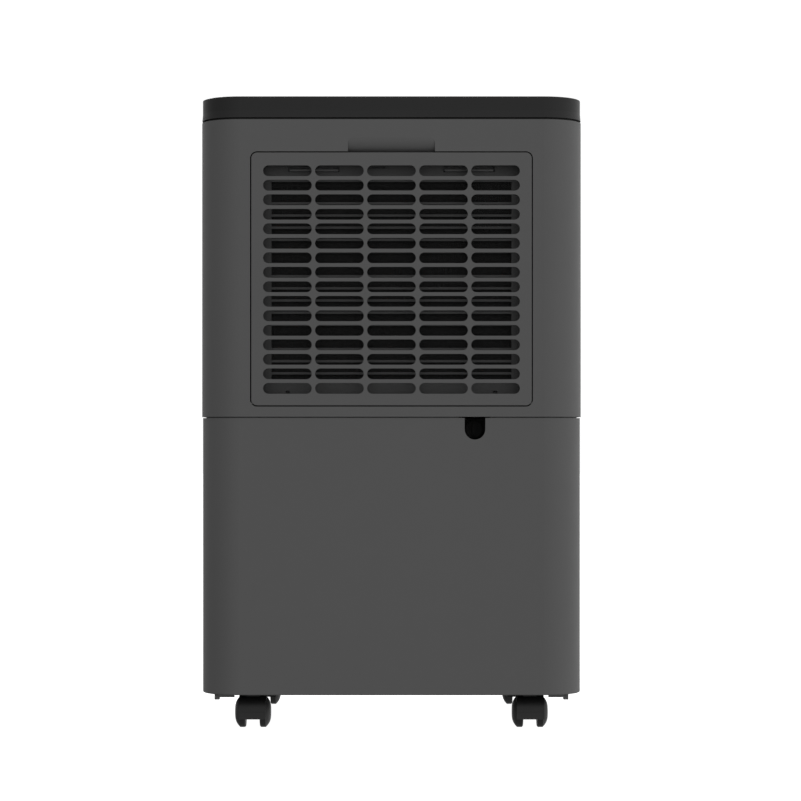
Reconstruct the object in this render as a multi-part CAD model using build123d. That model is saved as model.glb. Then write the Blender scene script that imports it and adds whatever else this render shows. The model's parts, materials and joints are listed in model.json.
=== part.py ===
from build123d import *
import math
import os

# Compact compressor dehumidifier, all sizes in mm.
# +Z up, the front (control panel and tank) faces -Y, the air intake at the back faces +Y.
# X = Y = 0 is the middle of the footprint and Z = 0 is the floor.

# ---- overall envelope ----
WIDTH = 291.2
DEPTH = 225.0
HEIGHT = 480.3
CORNER_R = 30.0
WALL = 2.5

# ---- heights of the stacked casings ----
BASE_Z = 26.3
LOWER_TOP_Z = 236.55
UPPER_BOTTOM_Z = 237.45
UPPER_TOP_Z = 462.85
LID_BOTTOM_Z = 464.35
LOWER_INSET = 0.65
LID_INSET = 0.57
LID_EDGE_R = 0.7
LID_FLARE = 0.45
LID_FLARE_H = 5.3
FAR = 200.0

# ---- intake at the back ----
PANEL_W = 212.7
PANEL_H = 191.8
PANEL_Z = 341.8
PANEL_R = 4.5
PANEL_T = 2.6
PANEL_GAP = 0.8
POCKET_DEPTH = 17.0
SLOT_W = 36.9
SLOT_H = 8.25
SLOT_PITCH_X = 39.43
SLOT_PITCH_Z = 10.99
SLOT_COLS = 5
SLOT_ROWS = 16
SLOT_Z = 341.35
FILTER_W = 208.0
FILTER_H = 184.0
FILTER_Y = 98.5
OPEN_W = 183.0
OPEN_Z0 = 264.8
OPEN_Z1 = 416.6
BAR_PITCH = 9.255
BAR_T = 1.75
BAR_TOP_Z = 409.455
HINGE_Z = PANEL_Z - PANEL_H / 2 + 1.6
SCOOP_W = 66.0
SCOOP_H = 10.6
SCOOP_DEPTH = 10.0
SCOOP_ROLL = 12.4

# ---- drain opening ----
DRAIN_Y = 46.0
NOTCH_X = -63.3
NOTCH_W = 15.7
NOTCH_Z = 220.1
SPOUT_BORE_R = 3.4
SPOUT_FACE_Y = DEPTH / 2 - LOWER_INSET - WALL

# ---- casters ----
CASTER_X = 105.9
STEM_Y = 82.25
TRAIL = 9.0
WHEEL_R = 12.0
WHEEL_BORE_R = 1.8
AXLE_R = 1.5
WHEEL_IN = 5.4
TREAD_W = 5.0
HOOD_R = 13.2
HOOD_GAP = 0.35
HUB_TOP = 6.9
HOOD_LOW_Z = 7.3
HOOD_FLARE = 1.3
DOME = 3.1

# ---- deck between the casings ----
DECK_Z = 237.6
DECK_T = 2.8
DECK_TOP_Z = DECK_Z + DECK_T
INLET_Y = -30.0
INLET_R = 9.0
SEAM_LIP = 1.6

# ---- tank bay ----
SPLIT_Y = -40.0
BAY_FRONT_Y = -66.0
BAY_BACK_Y = -8.0
KICK_Z = 37.5
PAN_Z = 34.5
PAN_TOP_Z = 37.5
TANK_TOP_Z = 208.0
TANK_Z = 38.6
TANK_HALF_W = 139.5
TANK_FRONT_Y = -109.35
TANK_BACK_Y = -12.0
TANK_WALL_T = 2.3
TANK_GRIP_HALF_W = 55.0
TANK_GRIP_Z = 215.0
WINDOW_Z = (79.6, 190.4)
WINDOW_HALF_W = 9.4
FLOAT_X = 60.0
BAY_HALF_W = WIDTH / 2 - LOWER_INSET - WALL
GRIP_Y = (-14.0, 76.0)
GRIP_Z = (398.0, 434.0)
BOSS_X = 138.6
BOSS_Y = (-20.0, 60.0)

# ---- control panel in the lid ----
CONTROL_Y = -76.0
CONTROL_W = 170.4
CONTROL_D = 42.4
CONTROL_R = 6.2
BUTTON_X = (-60.0, -20.0, 20.0, 60.0)
BUTTON_Y = -82.0
BUTTON_R = 6.0
LAMP_X = (-54.0, -40.0, 40.0, 54.0)
LAMP_Y = -64.0
LAMP_R = 1.2
DISPLAY_HALF_W = 22.0
DISPLAY_Y = (-72.0, -60.0)

# ---- air path ----
OUTLET_W = 150.0
OUTLET_CELLS = 12
OUTLET_Y0 = -24.0
OUTLET_Y1 = 30.0
LOUVRE_Y = 23.4
LOUVRE_Z = HEIGHT - 2.2
FAN_Z = 345.0
FAN_R = 72.0
FAN_W = 44.0
FAN_BLADES = 28
FAN_BACK_Y = -20.0
SHAFT_R = 4.0
INLET_BELL_R = 58.0
MOTOR_R = 38.0

parts = {}


def prism(w, d, r, z0, z1):
    """Upright block with rounded plan corners."""
    return Pos(0, 0, z0) * extrude(RectangleRounded(w, d, r), z1 - z0)


def block(x0, x1, y0, y1, z0, z1):
    """Box between two corners."""
    size = (x1 - x0, y1 - y0, z1 - z0)
    return Pos((x0 + x1) / 2, (y0 + y1) / 2, (z0 + z1) / 2) * Box(*size)


def rod_x(x0, x1, y, z, r):
    """Cylinder along X."""
    return Pos((x0 + x1) / 2, y, z) * Rot(0, 90, 0) * Cylinder(r, x1 - x0)


def rod_y(x, y0, y1, z, r):
    """Cylinder along Y."""
    return Pos(x, (y0 + y1) / 2, z) * Rot(90, 0, 0) * Cylinder(r, y1 - y0)


def rod_z(x, y, z0, z1, r):
    """Cylinder along Z."""
    return Pos(x, y, (z0 + z1) / 2) * Cylinder(r, z1 - z0)


def plate_y(shape, y0, y1):
    """Extrude a face drawn in X and Z from y0 to y1."""
    return extrude(Plane(origin=(0, y1, 0), x_dir=(1, 0, 0), z_dir=(0, -1, 0)) * shape, y1 - y0)


def pipe(points, r, bend):
    """Round tube along straight runs with filleted bends."""
    path = FilletPolyline(*points, radius=bend)
    start = path @ 0
    heading = path % 0
    return sweep(Plane(origin=start, z_dir=heading) * Circle(r), path)


def fuse(items):
    items = list(items)
    return items[0].fuse(*items[1:]) if len(items) > 1 else items[0]


# ------------------------------------------------------------------ casings

def make_top_cover():
    w = WIDTH - 2 * LID_INSET
    d = DEPTH - 2 * LID_INSET
    r = CORNER_R - LID_INSET
    slope = math.degrees(math.atan(LID_FLARE / LID_FLARE_H))
    foot = RectangleRounded(w + 2 * LID_FLARE, d + 2 * LID_FLARE, r + LID_FLARE)
    flare = extrude(foot, LID_FLARE_H, taper=slope)
    upper = prism(w, d, r, LID_BOTTOM_Z + LID_FLARE_H, HEIGHT)
    upper = fillet(upper.faces().sort_by(Axis.Z)[-1].edges(), LID_EDGE_R)
    lid = upper + Pos(0, 0, LID_BOTTOM_Z) * flare
    lid -= prism(w - 2 * WALL, d - 2 * WALL, r - WALL, LID_BOTTOM_Z - 1, HEIGHT - 3.0)
    skirt = prism(WIDTH - 6, DEPTH - 6, CORNER_R - 3, UPPER_TOP_Z - 7, HEIGHT - 2.9)
    skirt -= prism(WIDTH - 10, DEPTH - 10, CORNER_R - 5, UPPER_TOP_Z - 8, HEIGHT - 2.0)
    lid += skirt
    # air outlet with a rebate that the louvre closes into
    x = OUTLET_W / 2
    lid -= block(-x, x, OUTLET_Y0, OUTLET_Y1, HEIGHT - 12, HEIGHT + 1)
    duct = block(-x - 2, x + 2, OUTLET_Y0 - 2, OUTLET_Y1 + 2, HEIGHT - 18, HEIGHT - 2.9)
    duct -= block(-x, x, OUTLET_Y0, OUTLET_Y1, HEIGHT - 19, HEIGHT)
    lid += duct
    # control panel opening
    opening = prism(CONTROL_W + 0.4, CONTROL_D + 0.4, CONTROL_R + 0.2, HEIGHT - 4, HEIGHT + 1)
    ledge = prism(CONTROL_W + 3.6, CONTROL_D + 3.6, CONTROL_R + 1.8, HEIGHT - 6, HEIGHT - 2.9)
    ledge -= prism(CONTROL_W - 6.4, CONTROL_D - 6.4, CONTROL_R - 2.2, HEIGHT - 7, HEIGHT)
    lid -= Pos(0, CONTROL_Y, 0) * opening
    lid += Pos(0, CONTROL_Y, 0) * (ledge - opening)
    # bores for the louvre pins in the duct's end walls
    lid -= rod_x(-x - 1.5, x + 1.5, LOUVRE_Y, LOUVRE_Z, 1.8)
    return lid


def make_rear_housing():
    outer = prism(WIDTH, DEPTH, CORNER_R, UPPER_BOTTOM_Z, UPPER_TOP_Z)
    inner = prism(WIDTH - 2 * WALL, DEPTH - 2 * WALL, CORNER_R - WALL, UPPER_BOTTOM_Z - 1, UPPER_TOP_Z + 1)
    shell = (outer - inner) & block(-FAR, FAR, SPLIT_Y, FAR, FAR, 500)
    back = DEPTH / 2
    pw = PANEL_W + 2 * PANEL_GAP
    ph = PANEL_H + 2 * PANEL_GAP
    pocket_y = back - POCKET_DEPTH
    # intake pocket: side walls and a floor with the coil opening
    tub = Pos(0, 0, PANEL_Z) * plate_y(RectangleRounded(pw + 4, ph + 4, PANEL_R + 2), pocket_y - 2, back - 1)
    scoop_back = block(-SCOOP_W / 2 - 3, SCOOP_W / 2 + 3, back - SCOOP_DEPTH - 3, back - 1, 434, 452.5)
    shell += tub
    shell += scoop_back
    shell -= Pos(0, 0, PANEL_Z) * plate_y(RectangleRounded(pw, ph, PANEL_R + PANEL_GAP), pocket_y, back + 1)
    shell -= block(-94, 94, pocket_y - 3, pocket_y + 1, OPEN_Z0 - 2.8, OPEN_Z1 + 2.4)
    # finger recess: the wall rolls inwards towards the panel's top edge
    z_top = PANEL_Z + ph / 2 + SCOOP_H
    inner_y = back - SCOOP_DEPTH
    curve = EllipticalCenterArc((inner_y, z_top), SCOOP_DEPTH, SCOOP_ROLL, start_angle=270, arc_size=90)
    low = z_top - SCOOP_ROLL
    edge = Polyline((back, z_top), (back + 1, z_top), (back + 1, low - 1), (inner_y, low - 1), (inner_y, low))
    profile = make_face(Wire([*curve.edges(), *edge.edges()]))
    yz = Plane(origin=(-SCOOP_W / 2, 0, 0), x_dir=(0, 1, 0), z_dir=(1, 0, 0))
    scoop = extrude(yz * profile, SCOOP_W)
    window = Pos(0, 0, z_top - 15) * plate_y(RectangleRounded(SCOOP_W, 30, 4.5), back - 12, back + 2)
    shell -= scoop & window
    # bores for the intake grille's hinge pins
    shell -= rod_x(-PANEL_W / 2 - 2.3, PANEL_W / 2 + 2.3, back - 1.6, HINGE_Z, 1.3)
    # openings for the hand grips
    for s in (-1, 1):
        shell -= block(s * WIDTH / 2 - 6, s * WIDTH / 2 + 6, *GRIP_Y, *GRIP_Z)
    # screw bosses
    for s in (-1, 1):
        for y in BOSS_Y:
            boss = rod_z(s * BOSS_X, y, UPPER_BOTTOM_Z, UPPER_BOTTOM_Z + 22, 5)
            boss += rod_z(s * BOSS_X, y, LOWER_TOP_Z, UPPER_BOTTOM_Z + 1, 3.8)
            shell += boss
            shell -= rod_z(s * BOSS_X, y, LOWER_TOP_Z - 1, UPPER_BOTTOM_Z + 18, 1.6)
    return shell


def make_front_housing():
    outer = prism(WIDTH, DEPTH, CORNER_R, UPPER_BOTTOM_Z, UPPER_TOP_Z)
    inner = prism(WIDTH - 2 * WALL, DEPTH - 2 * WALL, CORNER_R - WALL, UPPER_BOTTOM_Z - 1, UPPER_TOP_Z + 1)
    shell = (outer - inner) & block(-FAR, FAR, -FAR, SPLIT_Y - 0.8, FAR, 500)
    # tongues that lap inside the rear housing
    lip = prism(WIDTH - 2 * WALL - 0.6, DEPTH - 6, CORNER_R - 3, UPPER_BOTTOM_Z + 6, UPPER_TOP_Z - 10)
    lip -= prism(WIDTH - 2 * WALL - 4, DEPTH - 9, CORNER_R - 5, UPPER_BOTTOM_Z + 5, UPPER_TOP_Z - 9)
    shell += lip & block(-FAR, FAR, SPLIT_Y - 8, SPLIT_Y + 7, FAR, 500)
    for s in (-1, 1):
        x0, x1 = sorted((s * (WIDTH / 2 - WALL - 1.5), s * (WIDTH / 2 - 1)))
        shell += block(x0, x1, SPLIT_Y - 8, SPLIT_Y - 1.5, UPPER_BOTTOM_Z + 6, UPPER_TOP_Z - 10)
    # shallow styling groove across the front
    shell -= block(-FAR, FAR, -DEPTH / 2 - 1, -DEPTH / 2 + 0.6, 300, 301.2)
    return shell


def make_lower_housing():
    w = WIDTH - 2 * LOWER_INSET
    d = DEPTH - 2 * LOWER_INSET
    r = CORNER_R - LOWER_INSET
    body = prism(w, d, r, BASE_Z, LOWER_TOP_Z)
    body = fillet(body.faces().sort_by(Axis.Z)[0].edges(), 0.9)
    body -= prism(w - 2 * WALL, d - 2 * WALL, r - WALL, BASE_Z - 1, LOWER_TOP_Z + 1)
    body -= block(-FAR, FAR, -FAR, BAY_FRONT_Y, KICK_Z, 300)
    # U-shaped drain opening in the top edge of the back wall
    nr = NOTCH_W / 2
    body -= rod_y(NOTCH_X, 100, 120, NOTCH_Z + nr, nr)
    body -= block(NOTCH_X - nr, NOTCH_X + nr, 100, 120, NOTCH_Z + nr, LOWER_TOP_Z + 1)
    # rails that hold the bay wall
    for s in (-1, 1):
        x0, x1 = sorted((s * 137, s * (BAY_HALF_W + 0.2)))
        body += block(x0, x1, BAY_BACK_Y + 2.5, BAY_BACK_Y + 5.3, 60, 220)
        # lugs that carry the upper casing
        x0, x1 = sorted((s * 132.0, s * (BAY_HALF_W + 0.2)))
        for y in BOSS_Y:
            body += block(x0, x1, y - 6, y + 6, 232.0, LOWER_TOP_Z)
            body -= rod_z(s * BOSS_X, y, 230, 240, 1.9)
    return body + make_seam_lip(w - 2 * WALL, d - 2 * WALL, r - WALL)


def make_seam_lip(w, d, r):
    """Lip inside the lower casing's top edge that stands behind the seam."""
    lip = prism(w + 0.4, d + 0.4, r + 0.2, 233.5, LOWER_TOP_Z - 0.05) + prism(w, d, r, 233.5, DECK_Z - 0.1)
    lip -= prism(w - 2 * SEAM_LIP, d - 2 * SEAM_LIP, r - SEAM_LIP, 233, DECK_Z + 1)
    lip &= block(-FAR, FAR, BAY_BACK_Y + 8, FAR, 230, 240)
    lip -= block(NOTCH_X - 12, NOTCH_X + 12, 90, 120, 230, 240)
    for s in (-1, 1):
        x0, x1 = sorted((s * 130, s * 150))
        for y in BOSS_Y:
            lip -= block(x0, x1, y - 6.2, y + 6.2, 230, 240)
    return lip


def make_base_pan():
    w = WIDTH - 2 * LOWER_INSET - 2 * WALL
    d = DEPTH - 2 * LOWER_INSET - 2 * WALL
    r = CORNER_R - LOWER_INSET - WALL
    pan = prism(w, d, r, PAN_Z, PAN_TOP_Z)
    for s in (-1, 1):
        for y in (-STEM_Y, STEM_Y):
            pan += rod_z(s * CASTER_X, y, 29.0, 36, 8.5)
            pan -= rod_z(s * CASTER_X, y, 28.0, 36.3, 4.3)
        # stiffening ribs between the casters
        x0, x1 = sorted((s * 100, s * 103))
        pan += block(x0, x1, -45, 45, 28.5, 35)
        # rear latch tabs that hang just below the casing
        x0, x1 = sorted((s * 119.5, s * 131.5))
        pan += block(x0, x1, 101.5, 103.5, 24.0, 35)
        x0, x1 = sorted((s * 131.2, s * 134.9))
        pan += block(x0, x1, 94.5, 100.5, 21.9, 35)
    pan += block(-70, 70, -103, -100, 28.5, 35)
    pan += block(-70, 70, 96, 99, 28.5, 35)
    # condensate upstand around the compressor and pads for its feet
    pan += block(-80, 80, 0, 2, 37, 46)
    for x, y in COMPRESSOR_FEET:
        pan += rod_z(x, y, 37, 42, 8)
    # runners that the tank slides on
    for s in (-1, 1):
        x0, x1 = sorted((s * 96, s * 100))
        pan += block(x0, x1, -98, -14, 37, 38.3)
    return pan


def make_mid_deck():
    w = WIDTH - 2 * LOWER_INSET - 2 * WALL - 0.6
    d = DEPTH - 2 * LOWER_INSET - 2 * WALL - 0.6
    deck = prism(w, d, CORNER_R - 4, DECK_Z, DECK_TOP_Z)
    deck -= rod_z(0, INLET_Y, 230, 245, INLET_R)
    for y in (COND_Y, EVAP_Y):
        deck -= rod_z(RISER_X, y, 230, 245, 6)
    deck -= rod_z(NOTCH_X, DRAIN_Y, 230, 245, 5.2)
    for s in (-1, 1):
        for y in BOSS_Y:
            deck -= rod_z(s * BOSS_X, y, 230, 245, 5.6)
    # collar over the tank inlet
    deck += rod_z(0, INLET_Y, 232.0, 239, INLET_R + 2) - rod_z(0, INLET_Y, 231, 245, INLET_R)
    return deck


def make_bay_wall():
    wall = block(-BAY_HALF_W, BAY_HALF_W, BAY_BACK_Y, BAY_BACK_Y + 2.5, PAN_TOP_Z, DECK_Z)
    for s in (-1, 1):
        x0, x1 = sorted((s * 131, s * 150))
        wall -= block(x0, x1, -FAR, FAR, 225.5, 238)
    for x in (-90, -30, 30, 90):
        wall += block(x - 1.2, x + 1.2, BAY_BACK_Y + 2.4, BAY_BACK_Y + 7, 50, 224)
    return wall


# ------------------------------------------------------------------ intake

def slot_field():
    cells = GridLocations(SLOT_PITCH_X, SLOT_PITCH_Z, SLOT_COLS, SLOT_ROWS)
    return [loc * SlotOverall(SLOT_W, SLOT_H) for loc in cells]


def make_intake_grille():
    back = DEPTH / 2
    blank = RectangleRounded(PANEL_W, PANEL_H, PANEL_R)
    plate = Pos(0, 0, PANEL_Z) * plate_y(blank, back - PANEL_T, back)
    plate = fillet(plate.faces().sort_by(Axis.Y)[-1].edges(), 0.5)
    plate -= Pos(0, 0, SLOT_Z) * plate_y(Sketch() + slot_field(), back - PANEL_T - 1, back + 1)
    # rim behind the panel that the filter frame clips into
    rim = Pos(0, 0, PANEL_Z) * plate_y(RectangleRounded(210.4, 187.0, 3.5), back - 6, back - PANEL_T + 0.1)
    rim -= Pos(0, 0, PANEL_Z) * plate_y(RectangleRounded(FILTER_W + 0.4, FILTER_H + 0.4, 3), back - 7, back)
    plate += rim
    # snap tongues behind the top row, carried by the vertical ribs
    for s in (-1, 1):
        x = s * 1.5 * SLOT_PITCH_X
        plate += block(x - 1.2, x + 1.2, 101.5, back - PANEL_T + 0.2, 421.0, 429.0)
        plate += block(x - 18.5, x + 18.5, 97.0, 102.0, 424.4, 425.9)
    # hinge pins at the bottom corners
    for s in (-1, 1):
        x0, x1 = sorted((s * (PANEL_W / 2 - 1), s * (PANEL_W / 2 + 1.9)))
        plate += rod_x(x0, x1, back - 1.6, HINGE_Z, 1.0)
    return plate


def make_filter_frame():
    y0 = FILTER_Y
    y1 = DEPTH / 2 - PANEL_T
    base = Pos(0, 0, PANEL_Z) * plate_y(RectangleRounded(FILTER_W, FILTER_H, 3), y0, y1)
    base -= Pos(0, 0, PANEL_Z) * plate_y(RectangleRounded(FILTER_W - 3, FILTER_H - 3, 2), y0 + 2, y1 + 1)
    base -= block(-OPEN_W / 2, OPEN_W / 2, y0 - 1, y0 + 5, OPEN_Z0, OPEN_Z1)
    bars = []
    half = OPEN_W / 2 + 0.5
    z = BAR_TOP_Z
    while z > OPEN_Z0 + 3:
        bars.append(block(-half, half, y0 + 0.2, y0 + 2.0, z - BAR_T / 2, z + BAR_T / 2))
        z -= BAR_PITCH
    for x in (-1.5, -0.5, 0.5, 1.5):
        xc = x * SLOT_PITCH_X
        bars.append(block(xc - 0.8, xc + 0.8, y0 + 0.2, y0 + 1.8, OPEN_Z0 - 0.5, OPEN_Z1 + 0.5))
    base += bars
    # slots for the grille's snap tongues, a latch slit and two bottom notches
    for s in (-1, 1):
        x = s * 1.5 * SLOT_PITCH_X
        base -= block(x - 19.5, x + 19.5, y0 - 1, y0 + 4, 424.0, 428.4)
        xn = s * 79
        base -= block(xn - 1.6, xn + 1.6, y0 - 1, y0 + 4, 254.9, 257.4)
    base -= block(4.8, 17.4, y0 - 1, y0 + 4, 426.6, 428.4)
    return base


def make_filter_mesh():
    return block(-96, 96, FILTER_Y - 0.8, FILTER_Y, 259, 421.5)


# ------------------------------------------------------------------ refrigeration

COIL_X = 86.0
COIL_Z = [272.0 + 19.0 * i for i in range(8)]
COIL_TUBE_R = 3.5
COIL_TAIL = 4.0
COIL_DEPTH = 22.0
FIN_Z = (263.5, 414.0)
FIN_PITCH = 4.0
FIN_COUNT = 43
FIN_T = 0.6
EVAP_Y = 80.0
COND_Y = 50.0
COMPRESSOR_X = 6.0
COMPRESSOR_Y = 54.0
COMPRESSOR_R = 44.0
COMPRESSOR_Z = (52.0, 196.0)
FOOT_ANGLES = [math.radians(a) for a in (205, 335, 145)]
COMPRESSOR_FEET = [(COMPRESSOR_X + 56 * math.cos(a), COMPRESSOR_Y + 52 * math.sin(a)) for a in FOOT_ANGLES]
GROMMET_R = 4.0
ACCUMULATOR_X = -62.0
ACCUMULATOR_Y = 40.0
RISER_X = -112.0


def make_fins(y):
    fin = block(-FIN_T / 2, FIN_T / 2, y - COIL_DEPTH / 2, y + COIL_DEPTH / 2, *FIN_Z)
    for z in COIL_Z:
        fin -= rod_x(-2, 2, y, z, COIL_TUBE_R)
    first = -FIN_PITCH * (FIN_COUNT - 1) / 2
    return Compound(children=[Pos(first + FIN_PITCH * i, 0, 0) * fin for i in range(FIN_COUNT)])


def make_coil_tube(y):
    """Serpentine of straight runs and return bends in one upright plane."""
    edges = [Line((-COIL_X - COIL_TAIL, y, COIL_Z[0]), (COIL_X, y, COIL_Z[0]))]
    side = 1
    for low, high in zip(COIL_Z, COIL_Z[1:]):
        mid = ((COIL_X + 10) * side, y, (low + high) / 2)
        edges.append(ThreePointArc((COIL_X * side, y, low), mid, (COIL_X * side, y, high)))
        stop = -COIL_X * side if high != COIL_Z[-1] else -(COIL_X + COIL_TAIL) * side
        edges.append(Line((COIL_X * side, y, high), (stop, y, high)))
        side = -side
    path = Wire([e.edge() if hasattr(e, "edge") else e for e in edges])
    start = Plane(origin=path @ 0, z_dir=path % 0)
    return sweep(start * Circle(COIL_TUBE_R), path)


def make_drip_tray():
    tray = Pos(0, 58.5, 0) * (prism(196, 68, 6, DECK_TOP_Z, 256) - prism(192, 64, 4, 243, 260))
    for y in (COND_Y, EVAP_Y):
        for x in (-60, 0, 60):
            tray += block(x - 8, x + 8, y - 1, y + 1, 242.5, 263.5)
    # covered channel that leads the water forward to the tank inlet
    spout = block(-7, 7, -34, 25, DECK_TOP_Z, 251) - block(-5, 5, -36, 28, 243, 252)
    spout += block(-7, 7, -37, -34, DECK_TOP_Z, 251)
    spout -= rod_z(0, INLET_Y, 239, 246, 4)
    tray += spout
    tray -= block(-5, 5, 18, 28, 243, 251)
    tray -= rod_z(NOTCH_X, DRAIN_Y, 239, 244, SPOUT_BORE_R)
    return tray


def make_compressor_shell():
    body = rod_z(COMPRESSOR_X, COMPRESSOR_Y, *COMPRESSOR_Z, COMPRESSOR_R)
    body = fillet(body.edges().filter_by(GeomType.CIRCLE), 20)
    body += rod_z(COMPRESSOR_X, COMPRESSOR_Y, 119, 124, COMPRESSOR_R + 2)
    feet = rod_z(COMPRESSOR_X, COMPRESSOR_Y, 50, 53.0, 30)
    for x, y in COMPRESSOR_FEET:
        dx, dy = x - COMPRESSOR_X, y - COMPRESSOR_Y
        length = math.hypot(dx, dy)
        arm = Pos(COMPRESSOR_X + dx / 2, COMPRESSOR_Y + dy / 2, 51.5)
        feet += arm * Rot(0, 0, math.degrees(math.atan2(dy, dx))) * Box(length, 18, 3)
        feet += rod_z(x, y, 50, 53, 9)
    body += feet
    for x, y in COMPRESSOR_FEET:
        body -= rod_z(x, y, 45, 60, GROMMET_R)
    return body


def make_compressor_cap():
    cap = rod_z(COMPRESSOR_X, COMPRESSOR_Y, COMPRESSOR_Z[1], COMPRESSOR_Z[1] + 18, 17)
    cap = fillet(cap.faces().sort_by(Axis.Z)[-1].edges(), 4)
    return cap


def make_compressor_grommets():
    items = []
    for x, y in COMPRESSOR_FEET:
        ring = rod_z(x, y, 42, 50, 7.5) + rod_z(x, y, 49.9, 53.0, GROMMET_R) + rod_z(x, y, 53.0, 56, 6.5)
        items.append(ring - rod_z(x, y, 41, 57, 2))
    return Compound(children=items)


def make_accumulator():
    x, y = ACCUMULATOR_X, ACCUMULATOR_Y
    can = fillet(rod_z(x, y, 100, 176, 12).edges().filter_by(GeomType.CIRCLE), 6)
    return can + pipe([(x, y, 104), (x, y, 84), (x + 12, y + 4, 76), (x + 28, y + 9, 76)], COIL_TUBE_R, 4)


def make_pipes():
    cx, cy = COMPRESSOR_X, COMPRESSOR_Y
    ax, ay = ACCUMULATOR_X, ACCUMULATOR_Y
    end_x = -COIL_X - COIL_TAIL
    out = {}
    suction = [(ax, ay, 176), (ax, ay, 205), (RISER_X, 62, 205), (RISER_X, EVAP_Y, 216)]
    suction += [(RISER_X, EVAP_Y, COIL_Z[0]), (end_x, EVAP_Y, COIL_Z[0])]
    out["suction_line"] = pipe(suction, COIL_TUBE_R, 5)
    discharge = [(cx + 30, cy - 8, 192), (cx + 30, cy - 8, 218), (-20, 20, 224), (RISER_X, 30, 224)]
    discharge += [(RISER_X, COND_Y, 236), (RISER_X, COND_Y, COIL_Z[-1]), (end_x, COND_Y, COIL_Z[-1])]
    out["discharge_line"] = pipe(discharge, 3.0, 5)
    drier_y = (COND_Y + EVAP_Y) / 2
    thin = [(end_x, COND_Y, COIL_Z[0]), (-104, COND_Y, COIL_Z[0]), (-106, drier_y, COIL_Z[0])]
    thin += [(-106, drier_y, COIL_Z[-1]), (-104, EVAP_Y, COIL_Z[-1]), (end_x, EVAP_Y, COIL_Z[-1])]
    capillary = pipe(thin, 1.3, 4)
    drier = fillet(rod_z(-106, drier_y, 300, 348, 7).edges().filter_by(GeomType.CIRCLE), 4)
    out["capillary_tube"] = capillary + drier
    return out


# ------------------------------------------------------------------ fan

def scroll_outline(inset):
    """Volute curve with a straight rise to the outlet, drawn in X and Z."""
    points = []
    for i in range(9):
        a = math.radians(20 - i * 25)
        r = 80 + i * 1.9 - inset
        points.append((r * math.cos(a), FAN_Z + r * math.sin(a)))
    first, last = points[0], points[-1]
    top = 461.0 - inset
    rise = Polyline(last, (last[0], top), (first[0], top), first)
    return make_face(Wire([*Spline(*points).edges(), *rise.edges()]))


def make_fan_scroll():
    """Volute that blows upwards into the outlet duct."""
    outer = plate_y(scroll_outline(0), -26, 30)
    inner = plate_y(scroll_outline(2.0), -24, 28)
    scroll = outer - inner
    scroll -= block(-74, 72, -24, 28, 440, 470)
    for s in (-1, 1):
        x = s * 60
        scroll += block(x - 3, x + 3, -23, -11, DECK_TOP_Z, 300) - inner
    scroll -= rod_y(0, 27, 31, FAN_Z, INLET_BELL_R)
    scroll += rod_y(0, 24, 31.5, FAN_Z, INLET_BELL_R + 2.5) - rod_y(0, 20, 33, FAN_Z, INLET_BELL_R)
    scroll -= rod_y(0, -30, -20, FAN_Z, 12)
    return scroll


def make_fan_wheel():
    cz = FAN_Z
    y0 = FAN_BACK_Y
    y1 = FAN_BACK_Y + FAN_W - 8
    disc = rod_y(0, y0, y0 + 2.5, cz, FAN_R)
    hub = rod_y(0, y0, y0 + 18, cz, 11)
    ring = rod_y(0, y1 - 2.5, y1, cz, FAN_R) - rod_y(0, y1 - 4, y1 + 1, cz, FAN_R - 9)
    items = [disc, hub, ring]
    blade = Pos(FAN_R - 5.5, 0) * Rot(0, 0, 35) * Rectangle(11, 1.3)
    for i in range(FAN_BLADES):
        spot = Rot(0, 0, i * 360 / FAN_BLADES) * blade
        items.append(Pos(0, 0, cz) * plate_y(spot, y0 + 1, y1 - 1))
    wheel = fuse(items)
    return wheel - rod_y(0, y0 - 1, y0 + 20, cz, SHAFT_R)


def make_motor():
    cz = FAN_Z
    can = rod_y(0, -72, -32, cz, MOTOR_R)
    can = fillet(can.edges().filter_by(GeomType.CIRCLE), 5)
    nose = rod_y(0, -33, -29, cz, 14)
    return can + nose - rod_y(0, -60, -20, cz, SHAFT_R + 0.5)


def make_motor_bracket():
    cz = FAN_Z
    plate = block(-66, 66, -32, -29, cz - 18, cz + 18) + rod_y(0, -32, -29, cz, MOTOR_R + 4)
    plate -= rod_y(0, -34, -20, cz, 14.4)
    for s in (-1, 1):
        x0, x1 = sorted((s * 58, s * 66))
        plate += block(x0, x1, -29.5, -26, cz - 18, cz + 18)
    return plate


# ------------------------------------------------------------------ tank

def tank_outline(z0, z1):
    body = block(-TANK_HALF_W, TANK_HALF_W, TANK_FRONT_Y, TANK_BACK_Y, z0, z1)
    body = fillet(body.edges().filter_by(Axis.Z).group_by(Axis.Y)[0], 27)
    return fillet(body.edges().filter_by(Axis.Z).group_by(Axis.Y)[-1], 10)


def make_water_tank():
    body = tank_outline(TANK_Z, TANK_TOP_Z)
    body = fillet(body.faces().sort_by(Axis.Z)[0].edges(), 2.5)
    half = TANK_HALF_W - 2.2
    y0 = TANK_FRONT_Y + TANK_WALL_T + 0.05
    cavity = block(-half, half, y0, TANK_BACK_Y - TANK_WALL_T, TANK_Z + 2.4, TANK_TOP_Z + 1)
    cavity = fillet(cavity.edges().filter_by(Axis.Z).group_by(Axis.Y)[0], 27 - TANK_WALL_T)
    cavity = fillet(cavity.edges().filter_by(Axis.Z).group_by(Axis.Y)[-1], 8)
    body -= cavity
    # guides for the float
    for s in (-1, 1):
        x0, x1 = sorted((FLOAT_X + s * 20, FLOAT_X + s * 22))
        body += block(x0, x1, -30, -14, 40.5, 190)
    return body


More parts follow.
